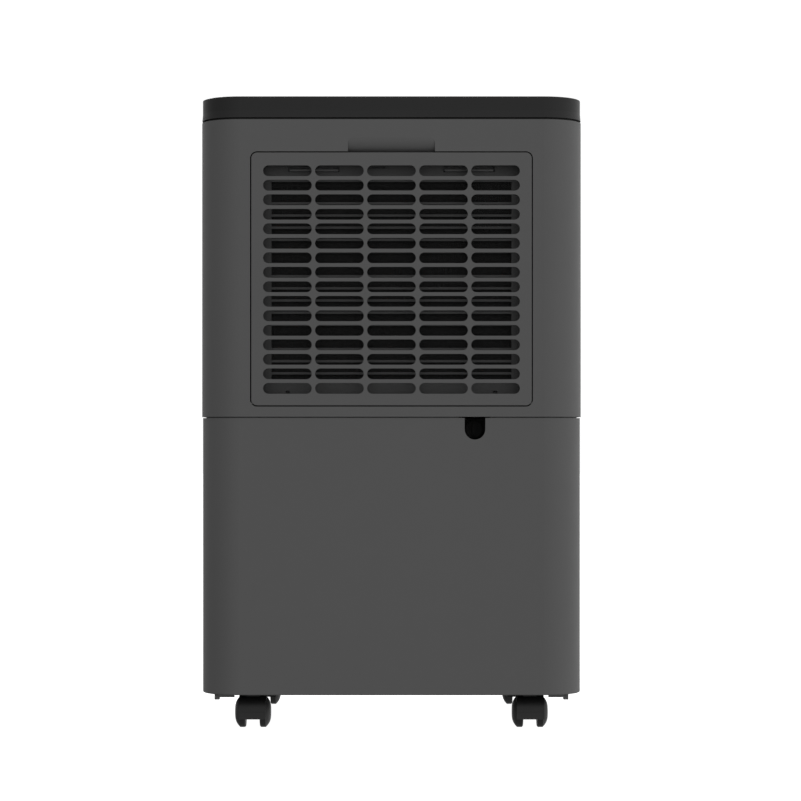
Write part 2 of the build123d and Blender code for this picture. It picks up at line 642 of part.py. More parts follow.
def make_tank_front():
    w = WIDTH - 2 * LOWER_INSET
    d = DEPTH - 2 * LOWER_INSET
    r = CORNER_R - LOWER_INSET
    shell = prism(w, d, r, KICK_Z + 0.8, LOWER_TOP_Z)
    shell -= prism(w - 2 * WALL, d - 2 * WALL, r - WALL, 30, 240)
    shell &= block(-FAR, FAR, -FAR, BAY_FRONT_Y - 0.8, 30, 240)
    # finger grip along the top edge, level window lower down
    g = TANK_GRIP_HALF_W
    shell -= block(-g, g, -120, -100, TANK_GRIP_Z, LOWER_TOP_Z + 1)
    cup = block(-g - 3, g + 3, -109.6, -92, TANK_GRIP_Z - 2.5, LOWER_TOP_Z)
    shell += cup - block(-g, g, -112, -94.5, TANK_GRIP_Z, LOWER_TOP_Z + 1)
    return shell - block(-WINDOW_HALF_W, WINDOW_HALF_W, -120, -105, *WINDOW_Z)


def make_tank_window():
    half = WINDOW_HALF_W - 0.1
    z0, z1 = WINDOW_Z
    pane = block(-half, half, -111.6, TANK_FRONT_Y, z0 + 0.1, z1 - 0.1)
    return fillet(pane.edges().filter_by(Axis.Y), 0.8)


def make_tank_lid():
    lid = tank_outline(TANK_TOP_Z, TANK_TOP_Z + 2.4)
    lid -= rod_z(0, INLET_Y, 200, 230, INLET_R + 4)
    # stiffening ribs
    for x in (-110, -75, 75, 110):
        lid += block(x - 1, x + 1, -80, -22, TANK_TOP_Z + 2.3, TANK_TOP_Z + 5)
    return lid


def make_tank_float():
    pad = block(FLOAT_X - 17, FLOAT_X + 17, -29, -16.5, 150, 176)
    return fillet(pad.edges(), 2.5)


# ------------------------------------------------------------------ controls

def make_control_panel():
    panel = Pos(0, CONTROL_Y, 0) * prism(CONTROL_W, CONTROL_D, CONTROL_R, HEIGHT - 4, HEIGHT - 0.2)
    for x in BUTTON_X:
        panel -= rod_z(x, BUTTON_Y, HEIGHT - 5, HEIGHT + 1, BUTTON_R + 0.3)
    w = DISPLAY_HALF_W + 0.2
    y0, y1 = DISPLAY_Y
    panel -= block(-w, w, y0 - 0.2, y1 + 0.2, HEIGHT - 1.6, HEIGHT + 1)
    for x in LAMP_X:
        panel -= rod_z(x, LAMP_Y, HEIGHT - 5, HEIGHT + 1, LAMP_R)
    return panel


def make_button(x):
    cap = rod_z(x, BUTTON_Y, HEIGHT - 8, HEIGHT, BUTTON_R)
    return fillet(cap.faces().sort_by(Axis.Z)[-1].edges(), 0.6)


def make_display():
    return block(-DISPLAY_HALF_W, DISPLAY_HALF_W, *DISPLAY_Y, HEIGHT - 1.6, HEIGHT - 0.4)


def make_lamps():
    return Compound(children=[rod_z(x, LAMP_Y, HEIGHT - 4, HEIGHT - 0.2, LAMP_R) for x in LAMP_X])


def make_outlet_grille():
    x = OUTLET_W / 2
    grid = block(-x, x, OUTLET_Y0, OUTLET_Y1, HEIGHT - 17, HEIGHT - 12.5)
    step = (OUTLET_W - 3) / OUTLET_CELLS
    for i in range(OUTLET_CELLS):
        x0 = -x + 2 + i * step
        for j in range(2):
            y0 = OUTLET_Y0 + 2 + j * 26
            grid -= block(x0, x0 + step - 1.6, y0, y0 + 24, HEIGHT - 18, HEIGHT - 9)
    return grid


def make_louvre():
    x = OUTLET_W / 2 - 0.6
    flap = block(-x, x, OUTLET_Y0 + 0.6, OUTLET_Y1 - 0.6, HEIGHT - 2.4, HEIGHT - 0.2)
    flap = fillet(flap.edges().filter_by(Axis.Z), 1.0)
    y, z = LOUVRE_Y, LOUVRE_Z
    for s in (-1, 1):
        x0, x1 = sorted((s * (x - 2.0), s * x))
        flap += block(x0, x1, y - 2.0, y + 2.0, z - 1.8, HEIGHT - 1.0)
        x0, x1 = sorted((s * (x - 1.0), s * (OUTLET_W / 2 + 1.2)))
        flap += rod_x(x0, x1, y, z, 1.5)
    flap += block(-x + 2, x - 2, -16, -15, HEIGHT - 5, HEIGHT - 2.2)
    return flap


def make_control_box():
    box = block(-60, 60, -110, -80, 352, 440)
    box -= block(-58, 58, -108, -79, 354, 438)
    return box


def make_main_board():
    board = block(-56, 56, -96, -94.4, 357, 435)
    chips = [(-40, 372, 16, 16, 9), (-8, 390, 22, 18, 12), (30, 375, 14, 20, 8), (34, 415, 20, 14, 10),
             (-30, 418, 26, 10, 6)]
    for x, z, w, h, t in chips:
        board += block(x - w / 2, x + w / 2, -94.5, -94.4 + t, z - h / 2, z + h / 2)
    for s in (-1, 1):
        for z in (362, 430):
            board += rod_y(s * 50, -108, -95, z, 2.5)
    return board


def make_capacitor():
    can = rod_z(98, -94, 300, 356, 16)
    can = fillet(can.faces().sort_by(Axis.Z)[-1].edges(), 2)
    can += block(94, 97, -97, -91, 355, 364) + block(100, 103, -97, -91, 355, 364)
    return can


# ------------------------------------------------------------------ casters

def make_caster_fork(x, stem_y):
    """Stem, central body and the stub axles for the two wheels."""
    axle_y = stem_y + TRAIL
    half = WHEEL_IN - 0.3
    neck = block(x - half, x + half, stem_y - 4.5, axle_y + 5.5, 12, 26)
    neck += block(x - half, x + half, axle_y, axle_y + 12, HOOD_LOW_Z, 16)
    neck += rod_x(x - half, x + half, axle_y, WHEEL_R, 5.5)
    neck += block(x - half, x + half, stem_y - 4.5, axle_y, 14, 26)
    neck -= block(x - 20, x + 20, stem_y - 10, axle_y - 4.5, 0, 15)
    # hood that follows the wheels' treads
    reach = WHEEL_IN + TREAD_W
    hood = rod_x(x - reach, x + reach, axle_y, WHEEL_R, HOOD_R)
    hood -= rod_x(x - reach - 1, x + reach + 1, axle_y, WHEEL_R, WHEEL_R + HOOD_GAP)
    hood &= block(x - 20, x + 20, axle_y - 20, axle_y + 20, HOOD_LOW_Z, 40)
    hood -= block(x - 20, x + 20, axle_y - 20, axle_y - 6, 0, 17)
    # below the axle the hood runs straight down and flares out a little
    inner_y = axle_y + WHEEL_R + HOOD_GAP
    outer_y = axle_y + HOOD_R
    skirt = make_face(Polyline((inner_y, WHEEL_R), (outer_y, WHEEL_R), (outer_y + HOOD_FLARE, HOOD_LOW_Z),
                               (inner_y, HOOD_LOW_Z), close=True))
    side = Plane(origin=(x - reach, 0, 0), x_dir=(0, 1, 0), z_dir=(1, 0, 0))
    hood += extrude(side * skirt, 2 * reach)
    neck += hood
    cap = rod_z(x, stem_y, 25.9, 28.6, 9.5)
    stem = rod_z(x, stem_y, 20, 35.9, 4.0)
    axle = rod_x(x - WHEEL_IN - 6.5, x + WHEEL_IN + 6.5, axle_y, WHEEL_R, AXLE_R)
    return neck + cap + stem + axle


def make_caster_wheel(x, stem_y, s):
    """Twin-wheel half with a domed outer face, s is the side of the fork."""
    outline = Polyline((WHEEL_BORE_R, 0), (WHEEL_R - 0.8, 0), (WHEEL_R, 0.8), (WHEEL_R, TREAD_W - 0.6),
                       (WHEEL_R - 0.7, TREAD_W))
    dome = ThreePointArc((WHEEL_R - 0.7, TREAD_W), (8.2, TREAD_W + DOME * 0.72), (2.0, TREAD_W + DOME))
    rest = Polyline((2.0, TREAD_W + DOME), (0, TREAD_W + DOME), (0, HUB_TOP), (WHEEL_BORE_R, HUB_TOP),
                    (WHEEL_BORE_R, 0))
    face = make_face(Wire([*outline.edges(), *dome.edges(), *rest.edges()]))
    wheel = revolve(face, Axis.Y)
    turn = Rot(0, 0, -90 * s)
    return Pos(x + s * WHEEL_IN, stem_y + TRAIL, WHEEL_R) * turn * wheel


def make_screws():
    items = []
    for s in (-1, 1):
        for y in BOSS_Y:
            x = s * BOSS_X
            items.append(rod_z(x, y, 229.4, 232.0, 3.4) + rod_z(x, y, 231.9, 252, 1.5))
    return Compound(children=items)


def make_side_grips():
    items = []
    for s in (-1, 1):
        x0, x1 = sorted((s * 122.0, s * (WIDTH / 2 - 0.4)))
        cup = block(x0, x1, *GRIP_Y, *GRIP_Z)
        c0, c1 = sorted((s * 124.0, s * 146.0))
        hollow = block(c0, c1, GRIP_Y[0] + 2.5, GRIP_Y[1] - 2.5, GRIP_Z[0] + 2.5, GRIP_Z[1] - 2.5)
        cup -= fillet(hollow.edges().filter_by(Axis.X), 5)
        items.append(cup)
    return Compound(children=items)


def make_drain_spout():
    """Spout with the funnel that lines the drain opening."""
    z = NOTCH_Z + NOTCH_W / 2
    half = NOTCH_W / 2 + 2
    tube = rod_y(NOTCH_X, 38, 80, z, 5.0) + rod_z(NOTCH_X, DRAIN_Y, z, DECK_TOP_Z, 4.6)
    funnel = block(NOTCH_X - half - 1.5, NOTCH_X + half + 1.5, 60, SPOUT_FACE_Y, NOTCH_Z - 4, LOWER_TOP_Z)
    funnel -= block(NOTCH_X - half, NOTCH_X + half, 62, SPOUT_FACE_Y + 1, NOTCH_Z - 2.5, LOWER_TOP_Z + 1)
    tube += funnel
    tube -= rod_y(NOTCH_X, 41, 81, z, SPOUT_BORE_R)
    tube -= rod_z(NOTCH_X, DRAIN_Y, z, 241, 3.0)
    return tube


def make_drain_cap():
    z = NOTCH_Z + NOTCH_W / 2
    cap = rod_y(NOTCH_X, 68, 83, z, 6.4) - rod_y(NOTCH_X, 67, 80.3, z, 5.3)
    return cap + block(NOTCH_X - 1.2, NOTCH_X + 1.2, 82.9, 86, z - 4.5, z + 4.5)


parts["top_cover"] = make_top_cover()
parts["rear_housing"] = make_rear_housing()
parts["front_housing"] = make_front_housing()
parts["lower_housing"] = make_lower_housing()
parts["base_pan"] = make_base_pan()
parts["mid_deck"] = make_mid_deck()
parts["bay_wall"] = make_bay_wall()
parts["intake_grille"] = make_intake_grille()
parts["filter_frame"] = make_filter_frame()
parts["filter_mesh"] = make_filter_mesh()
parts["evaporator_fins"] = make_fins(EVAP_Y)
parts["evaporator_tube"] = make_coil_tube(EVAP_Y)
parts["condenser_fins"] = make_fins(COND_Y)
parts["condenser_tube"] = make_coil_tube(COND_Y)
parts["drip_tray"] = make_drip_tray()
parts["compressor_shell"] = make_compressor_shell()
parts["compressor_cap"] = make_compressor_cap()
parts["compressor_grommets"] = make_compressor_grommets()
parts["accumulator"] = make_accumulator()
parts.update(make_pipes())
parts["fan_scroll"] = make_fan_scroll()
parts["fan_wheel"] = make_fan_wheel()
parts["fan_shaft"] = rod_y(0, -59, 0, FAN_Z, SHAFT_R)
parts["fan_motor"] = make_motor()
parts["motor_bracket"] = make_motor_bracket()
parts["water_tank"] = make_water_tank()
parts["tank_front"] = make_tank_front()
parts["tank_window"] = make_tank_window()
parts["tank_lid"] = make_tank_lid()
parts["tank_float"] = make_tank_float()
parts["control_panel"] = make_control_panel()
for label, bx in zip(("power", "fan_speed", "humidity", "timer"), BUTTON_X):
    parts["button_" + label] = make_button(bx)
parts["display_window"] = make_display()
parts["indicator_lamps"] = make_lamps()
parts["outlet_grille"] = make_outlet_grille()
parts["louvre"] = make_louvre()
parts["control_box"] = make_control_box()
parts["main_board"] = make_main_board()
parts["run_capacitor"] = make_capacitor()
parts["side_grips"] = make_side_grips()
parts["casing_screws"] = make_screws()
parts["drain_spout"] = make_drain_spout()
parts["drain_cap"] = make_drain_cap()
for end, stem_y in (("front", -STEM_Y), ("rear", STEM_Y)):
    for side, sx in (("left", -1), ("right", 1)):
        name = end + "_" + side
        parts["caster_fork_" + name] = make_caster_fork(sx * CASTER_X, stem_y)
        parts["caster_wheel_" + name + "_inner"] = make_caster_wheel(sx * CASTER_X, stem_y, -sx)
        parts["caster_wheel_" + name + "_outer"] = make_caster_wheel(sx * CASTER_X, stem_y, sx)

os.makedirs("parts", exist_ok=True)
for name, shape in parts.items():
    export_step(shape, "parts/" + name + ".step")
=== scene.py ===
import json
import math

import bmesh
import bpy
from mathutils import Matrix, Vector


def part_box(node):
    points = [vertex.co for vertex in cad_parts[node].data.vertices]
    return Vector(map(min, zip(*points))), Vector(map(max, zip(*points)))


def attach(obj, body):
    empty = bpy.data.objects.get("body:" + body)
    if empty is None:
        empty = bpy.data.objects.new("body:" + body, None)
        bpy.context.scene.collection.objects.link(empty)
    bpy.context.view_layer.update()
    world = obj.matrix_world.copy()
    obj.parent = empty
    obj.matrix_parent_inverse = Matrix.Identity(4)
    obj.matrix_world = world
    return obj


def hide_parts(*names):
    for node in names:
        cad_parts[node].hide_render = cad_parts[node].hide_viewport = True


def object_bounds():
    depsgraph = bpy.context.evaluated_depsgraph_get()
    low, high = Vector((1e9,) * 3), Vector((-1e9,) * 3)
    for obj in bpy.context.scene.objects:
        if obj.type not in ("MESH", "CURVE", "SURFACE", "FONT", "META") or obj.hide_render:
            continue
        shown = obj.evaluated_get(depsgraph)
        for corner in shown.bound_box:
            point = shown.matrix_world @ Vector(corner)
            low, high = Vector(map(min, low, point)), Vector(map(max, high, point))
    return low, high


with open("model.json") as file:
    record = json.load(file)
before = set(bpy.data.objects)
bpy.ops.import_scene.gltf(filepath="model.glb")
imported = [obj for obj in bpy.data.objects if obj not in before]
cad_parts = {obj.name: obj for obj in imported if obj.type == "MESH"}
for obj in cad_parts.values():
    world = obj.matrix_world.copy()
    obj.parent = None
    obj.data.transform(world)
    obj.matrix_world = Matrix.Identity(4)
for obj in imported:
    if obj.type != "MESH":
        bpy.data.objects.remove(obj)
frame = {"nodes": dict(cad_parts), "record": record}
cad_low, cad_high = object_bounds()
nodes = frame["nodes"]

MM = 0.001

# ---- filter net ----
NET_PITCH = 0.9 * MM
NET_THREAD = 0.38 * MM      # half the width of a thread
NET_LAYER = 0.1 * MM        # from the net's middle to each layer of threads

# ---- coil fins ----
FIN_PITCH = 1.7 * MM
FIN_THICKNESS = 0.14 * MM
FIN_WAVES = 8
FIN_WAVE = 0.35 * MM
FIN_LEAN = 0.25 * MM

# ---- printed and moulded marks ----
MARK_SINK = 0.02 * MM
SYMBOL_HEIGHT = 0.07 * MM
DISPLAY_BAR_HEIGHT = 0.05 * MM

# ---------------------------------------------------------------- camera

CAMERA_DISTANCE = 1.859     # lens to the back face
EYE_HEIGHT = 0.2198
LENS = 110.3
SHIFT_X = 0.01129
SHIFT_Y = 0.0493


def make_camera():
    data = bpy.data.cameras.new("camera")
    data.lens = LENS
    data.sensor_width = 36.0
    data.shift_x = SHIFT_X
    data.shift_y = SHIFT_Y
    data.clip_start = 0.05
    data.clip_end = 30.0
    camera = bpy.data.objects.new("camera", data)
    camera.location = (0.0, cad_high.y + CAMERA_DISTANCE, EYE_HEIGHT)
    camera.rotation_euler = (math.pi / 2, 0.0, math.pi)
    bpy.context.collection.objects.link(camera)
    bpy.context.scene.camera = camera


# ---------------------------------------------------------------- materials

def grey(level):
    """Linear value of an sRGB grey level from 0 to 255."""
    c = level / 255.0
    return c / 12.92 if c <= 0.04045 else ((c + 0.055) / 1.055) ** 2.4


def neutral(level):
    return (grey(level),) * 3


def shade(colour, factor):
    return tuple(c * factor for c in colour)


class Nodes:
    """Short hand for building one material's node tree."""

    def __init__(self, name):
        self.material = bpy.data.materials.new(name)
        self.material.use_nodes = True
        self.tree = self.material.node_tree
        self.shader = self.tree.nodes["Principled BSDF"]
        self.coords = self.add("ShaderNodeTexCoord").outputs["Object"]

    def add(self, kind, **values):
        node = self.tree.nodes.new(kind)
        for key, value in values.items():
            setattr(node, key, value)
        return node

    def link(self, source, target):
        self.tree.links.new(source, target)

    def put(self, socket, source):
        self.link(source, self.shader.inputs[socket])

    def mapped(self, stretch):
        mapping = self.add("ShaderNodeMapping")
        mapping.inputs["Scale"].default_value = stretch
        self.link(self.coords, mapping.inputs["Vector"])
        return mapping.outputs["Vector"]

    def noise(self, scale, detail=2.0, roughness=0.5, stretch=None):
        texture = self.add("ShaderNodeTexNoise")
        texture.inputs["Scale"].default_value = scale
        texture.inputs["Detail"].default_value = detail
        texture.inputs["Roughness"].default_value = roughness
        self.link(self.mapped(stretch) if stretch else self.coords, texture.inputs["Vector"])
        return texture.outputs["Fac"]

    def cells(self, scale):
        texture = self.add("ShaderNodeTexVoronoi")
        texture.inputs["Scale"].default_value = scale
        self.link(self.coords, texture.inputs["Vector"])
        return texture.outputs["Distance"]

    def math(self, operation, first, second):
        node = self.add("ShaderNodeMath", operation=operation)
        for socket, value in zip(node.inputs, (first, second)):
            if isinstance(value, (int, float)):
                socket.default_value = value
            else:
                self.link(value, socket)
        return node.outputs["Value"]

    def spread(self, source, low, high, start=0.3, end=0.7):
        """Maps a texture value to a range of numbers."""
        node = self.add("ShaderNodeMapRange")
        node.inputs["From Min"].default_value = start
        node.inputs["From Max"].default_value = end
        node.inputs["To Min"].default_value = low
        node.inputs["To Max"].default_value = high
        self.link(source, node.inputs["Value"])
        return node.outputs["Result"]

    def tint(self, source, dark, light, start=0.3, end=0.7):
        """Maps a texture value to a colour between two."""
        ramp = self.add("ShaderNodeValToRGB")
        ramp.color_ramp.elements[0].position = start
        ramp.color_ramp.elements[0].color = (*dark, 1.0)
        ramp.color_ramp.elements[1].position = end
        ramp.color_ramp.elements[1].color = (*light, 1.0)
        self.link(source, ramp.inputs["Fac"])
        return ramp.outputs["Color"]

    def mix(self, factor, first, second):
        node = self.add("ShaderNodeMix", data_type="RGBA")
        self.link(factor, node.inputs["Factor"])
        for socket, value in ((node.inputs["A"], first), (node.inputs["B"], second)):
            if isinstance(value, tuple):
                socket.default_value = (*value, 1.0)
            else:
                self.link(value, socket)
        return node.outputs["Result"]

    def edges(self, radius, start, end):
        """1 along sharp edges, 0 on flat faces."""
        rounded = self.add("ShaderNodeBevel", samples=4)
        rounded.inputs["Radius"].default_value = radius
        plain = self.add("ShaderNodeNewGeometry")
        dot = self.add("ShaderNodeVectorMath", operation="DOT_PRODUCT")
        self.link(rounded.outputs["Normal"], dot.inputs[0])
        self.link(plain.outputs["Normal"], dot.inputs[1])
        return self.spread(self.math("SUBTRACT", 1.0, dot.outputs["Value"]), 0.0, 1.0, start, end)

    def bump(self, height, distance, strength=1.0, under=None):
        node = self.add("ShaderNodeBump")
        node.inputs["Strength"].default_value = strength
        node.inputs["Distance"].default_value = distance
        self.link(height, node.inputs["Height"])
        if under is not None:
            self.link(under, node.inputs["Normal"])
        return node.outputs["Normal"]


def moulded(name, colour, rough=0.5, grain=1400.0, depth=0.00002, mottle=0.012, specular=0.5, wear_and_highlight=0.12):
    """Textured moulded plastic: spark-eroded grain, faint flow mottling, patchy gloss, and sharp edges
    painted lighter in patches, partly as rubbed wear and partly as a painted edge highlight.
    """
    n = Nodes(name)
    fine = n.noise(grain, detail=3.0, roughness=0.6)
    flow = n.noise(16.0, detail=5.0, roughness=0.6, stretch=(1.0, 1.0, 0.4))
    body = n.tint(flow, shade(colour, 1 - mottle), shade(colour, 1 + mottle))
    speckle = n.tint(n.noise(2600.0, detail=1.0), shade(colour, 0.97), shade(colour, 1.03))
    body = n.mix(n.spread(n.noise(40.0, detail=2.0), 0.2, 0.6), body, speckle)
    # sharp edges painted lighter in noisy patches: a painted highlight along the moulded edges, partly rubbed
    # wear
    scratch_and_highlight_breakup = n.spread(n.noise(120.0, detail=3.0), 0.2, wear_and_highlight * 8.0)
    rubbed_and_highlit_edges = n.math("MULTIPLY", n.edges(0.0009, 0.02, 0.3), scratch_and_highlight_breakup)
    rubbed_and_highlit_edges = n.math("MINIMUM", rubbed_and_highlit_edges, 1.0)
    rubbed_and_highlit_colour = tuple(min(1.0, c * (1 + wear_and_highlight) + 0.002) for c in colour)
    n.put("Base Color", n.mix(rubbed_and_highlit_edges, body, rubbed_and_highlit_colour))
    n.put("Roughness", n.spread(n.noise(70.0, detail=3.0), rough - 0.015, rough + 0.02))
    n.put("Normal", n.bump(fine, depth))
    n.shader.inputs["Specular IOR Level"].default_value = specular
    return n.material


def glossy(name, colour, rough=0.12, specular=0.5):
    """Polished plastic: long-wave ripple, hairline scuffs and a light haze."""
    n = Nodes(name)
    haze = n.noise(14.0, detail=5.0, roughness=0.6)
    scuffs = n.noise(90.0, detail=6.0, roughness=0.7, stretch=(1.0, 1.0, 9.0))
    n.put("Base Color", n.tint(haze, shade(colour, 0.92), shade(colour, 1.1)))
    marks = n.spread(scuffs, 0.0, 0.08, 0.55, 0.8)
    n.put("Roughness", n.math("ADD", n.spread(haze, rough, rough + 0.06), marks))
    n.put("Normal", n.bump(scuffs, 0.000004, under=n.bump(n.noise(5.0), 0.0002, 0.3)))
    n.shader.inputs["Specular IOR Level"].default_value = specular
    return n.material


def rolled_metal(name, colour, rough, stretch, tarnish=0.85, depth=0.000006):
    """Drawn or rolled metal: streaks along the work and patchy tarnish."""
    n = Nodes(name)
    streaks = n.noise(160.0, detail=4.0, roughness=0.7, stretch=stretch)
    patches = n.noise(22.0, detail=5.0, roughness=0.6)
    n.put("Base Color", n.tint(patches, shade(colour, tarnish), colour))
    n.put("Roughness", n.math("ADD", n.spread(streaks, rough - 0.06, rough + 0.08),
                              n.spread(patches, 0.08, 0.0)))
    n.put("Normal", n.bump(streaks, depth))
    n.shader.inputs["Metallic"].default_value = 1.0
    return n.material


def painted(name, colour, rough=0.35):
    """Sprayed enamel: orange peel and a few dull patches."""
    n = Nodes(name)
    peel = n.noise(420.0, detail=2.0)
    patches = n.noise(18.0, detail=4.0)
    n.put("Base Color", n.tint(patches, shade(colour, 0.85), shade(colour, 1.2)))
    n.put("Roughness", n.spread(patches, rough - 0.06, rough + 0.1))
    n.put("Normal", n.bump(peel, 0.00004, 0.6))
    n.shader.inputs["Coat Weight"].default_value = 0.25
    n.shader.inputs["Coat Roughness"].default_value = 0.2
    return n.material


def spangled(name):
    """Galvanised steel: crystal spangle of slightly different greys."""
    n = Nodes(name)
    spangle = n.cells(140.0)
    n.put("Base Color", n.tint(spangle, (0.42, 0.43, 0.45), (0.62, 0.63, 0.64), 0.0, 0.9))
    n.put("Roughness", n.spread(spangle, 0.3, 0.5, 0.0, 0.9))
    n.put("Normal", n.bump(n.noise(500.0, detail=2.0), 0.00001))
    n.shader.inputs["Metallic"].default_value = 0.9
    return n.material


def rubbery(name, colour):
    n = Nodes(name)
    bloom = n.noise(30.0, detail=5.0, roughness=0.65)
    n.put("Base Color", n.tint(bloom, colour, shade(colour, 1.7), 0.35, 0.75))
    n.put("Roughness", n.spread(bloom, 0.62, 0.8))
    n.put("Normal", n.bump(n.noise(1500.0, detail=2.0), 0.00003))
    n.shader.inputs["Specular IOR Level"].default_value = 0.3
    return n.material


def foamed(name, colour):
    n = Nodes(name)
    pores = n.cells(900.0)
    # pore centres painted darker: painted shade in the dented pores
    n.put("Base Color", n.tint(pores, shade(colour, 0.6), colour, 0.1, 0.6))
    n.put("Roughness", n.spread(pores, 0.8, 0.95, 0.0, 0.8))
    n.put("Normal", n.bump(pores, 0.0002, 0.7))
    return n.material


def see_through(name, colour, rough, clear, haze_scale=20.0):
    """Clear or smoked plastic with faint ripple and limescale haze."""
    n = Nodes(name)
    haze = n.noise(haze_scale, detail=5.0, roughness=0.65)
    n.put("Base Color", n.tint(haze, shade(colour, 0.92), colour))
    n.put("Roughness", n.spread(haze, rough, rough + 0.12))
    n.put("Normal", n.bump(n.noise(60.0, detail=2.0), 0.00002, 0.4))
    n.shader.inputs["Transmission Weight"].default_value = clear
    n.shader.inputs["IOR"].default_value = 1.49
    return n.material


def circuit(name):
    """Green solder mask with a faint grid of copper tracks underneath."""
    n = Nodes(name)
    brick = n.add("ShaderNodeTexBrick")
    brick.inputs["Scale"].default_value = 260.0
    brick.inputs["Mortar Size"].default_value = 0.06
    n.link(n.coords, brick.inputs["Vector"])
    n.put("Base Color", n.tint(brick.outputs["Fac"], (0.01, 0.09, 0.035), (0.03, 0.2, 0.08), 0.2, 0.8))
    n.put("Roughness", n.spread(n.noise(50.0), 0.25, 0.4))
    n.put("Normal", n.bump(brick.outputs["Fac"], 0.00004))
    return n.material


def netting(name, level):
    """Black woven nylon: each thread slightly different, with a twist along it."""
    n = Nodes(name)
    twist = n.noise(700.0, detail=2.0)
    n.put("Base Color", n.tint(twist, neutral(level * 0.6), neutral(level * 1.3)))
    n.put("Roughness", n.spread(twist, 0.55, 0.75))
    n.put("Normal", n.bump(twist, 0.00004))
    n.shader.inputs["Specular IOR Level"].default_value = 0.15
    return n.material


finish_of = {
    "casing": moulded("casing_plastic", neutral(67), rough=0.55, specular=0.36, wear_and_highlight=0.1),
    "lid": moulded("lid_plastic", neutral(25), rough=0.45, specular=0.18, wear_and_highlight=0.3),
    "dark_plastic": moulded("black_plastic", neutral(14), rough=0.5, specular=0.24, wear_and_highlight=0.4),
    "gloss_black": glossy("gloss_black_plastic", neutral(14)),
    "filter_plastic": moulded("filter_plastic", neutral(49), rough=0.55, specular=0.3, wear_and_highlight=0.2),
    "mesh": netting("nylon_net", 21.0),
    "fins": rolled_metal("aluminium_fins", (0.62, 0.63, 0.65), 0.38, (1.0, 1.0, 0.1)),
    "copper": rolled_metal("copper_tube", (0.72, 0.33, 0.18), 0.28, (0.2, 1.0, 1.0), tarnish=0.6),
    "steel": rolled_metal("zinc_steel", (0.55, 0.56, 0.57), 0.3, (1.0, 0.1, 1.0)),
    "black_paint": painted("black_enamel", neutral(24)),
    "rubber": rubbery("black_rubber", neutral(20)),
    "inner_plastic": moulded("natural_plastic", (0.56, 0.56, 0.54), rough=0.45, grain=900.0, wear_and_highlight=0.05),
    "clear": see_through("clear_plastic", (0.8, 0.88, 0.9), 0.04, 0.9),
    "tank_plastic": see_through("smoked_plastic", (0.36, 0.4, 0.42), 0.16, 0.7, 9.0),
    "foam": foamed("float_foam", (0.8, 0.78, 0.72)),
    "board": circuit("circuit_board"),
    "lamp": see_through("lamp_lens", (0.45, 0.95, 0.6), 0.1, 0.5),
    "galvanised": spangled("galvanised_sheet"),
}


def paint(node, material):
    data = nodes[node].data
    data.materials.clear()
    data.materials.append(material)


for entry in frame["record"]["subparts"]:
    paint(entry["node"], finish_of[entry["material_slot"]])

# the casters are painted a slightly paler black than the other dark mouldings, the wheels paler than the
# hood: painted light, for the light the casters catch from the front and below
CASTER_LIT_FINISH = {
    "caster_fork": moulded("caster_hood_lit_plastic", neutral(20), rough=0.5, specular=0.24, wear_and_highlight=0.4),
    "caster_wheel": moulded("caster_wheel_lit_plastic", neutral(28), rough=0.5, specular=0.24, wear_and_highlight=0.3),
}
for entry in frame["record"]["subparts"]:
    for prefix, caster_lit_finish in CASTER_LIT_FINISH.items():
        if entry["node"].startswith(prefix):
            paint(entry["node"], caster_lit_finish)


# ---------------------------------------------------------------- softened edges

def soften(node, width):
    """Rounds a carried-over node's moulded edges."""
    piece = nodes[node]
    weld = piece.modifiers.new("weld", "WELD")
    weld.merge_threshold = 0.000004
    flat = piece.modifiers.new("flat", "DECIMATE")
    flat.decimate_type = "DISSOLVE"
    flat.angle_limit = math.radians(0.4)
    bevel = piece.modifiers.new("bevel", "BEVEL")
    bevel.width = width
    bevel.segments = 2
    bevel.limit_method = "ANGLE"
    bevel.angle_limit = math.radians(30.0)
    bevel.harden_normals = True
    bevel.miter_outer = "MITER_ARC"
    bevel.use_clamp_overlap = True


soften("intake_grille", 0.55 * MM)


# ---------------------------------------------------------------- detailed pieces

def new_piece(name, build, body, slot, replaced):
    """Makes a mesh piece from a bmesh, rides it on a body and gives it the slot's material."""
    mesh = bpy.data.meshes.new(name)
    build.to_mesh(mesh)
    build.free()
    piece = bpy.data.objects.new(name, mesh)
    bpy.context.collection.objects.link(piece)
    mesh.materials.append(finish_of[slot])
    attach(piece, body)
    if replaced:
        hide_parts(*replaced)
    return piece


def add_thread(build, start, end, side_a, side_b):
    """A thin thread with a lozenge section between two points."""
    a, b = Vector(side_a), Vector(side_b)
    rings = []
    for point in (Vector(start), Vector(end)):
        rings.append([build.verts.new(point + offset) for offset in (a, b, -a, -b)])
    for i in range(4):
        j = (i + 1) % 4
        build.faces.new((rings[0][i], rings[0][j], rings[1][j], rings[1][i]))
    build.faces.new(rings[0][::-1])
    build.faces.new(rings[1])


def make_filter_net():
    """Fine woven net: two crossing layers of nylon threads."""
    low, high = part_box("filter_mesh")
    middle = (low.y + high.y) / 2
    build = bmesh.new()
    columns = int((high.x - low.x) / NET_PITCH)
    for i in range(columns + 1):
        x = low.x + NET_THREAD + i * (high.x - low.x - 2 * NET_THREAD) / columns
        add_thread(build, (x, middle - NET_LAYER, low.z), (x, middle - NET_LAYER, high.z),
                   (NET_THREAD, 0, 0), (0, 2 * NET_LAYER, 0))
    rows = int((high.z - low.z) / NET_PITCH)
    for i in range(rows + 1):
        z = low.z + NET_THREAD + i * (high.z - low.z - 2 * NET_THREAD) / rows
        add_thread(build, (low.x, middle + NET_LAYER, z), (high.x, middle + NET_LAYER, z),
                   (0, 2 * NET_LAYER, 0), (0, 0, NET_THREAD))
    bmesh.ops.recalc_face_normals(build, faces=build.faces)
    return new_piece("filter_net", build, "intake_grille", "mesh", ["filter_mesh"])


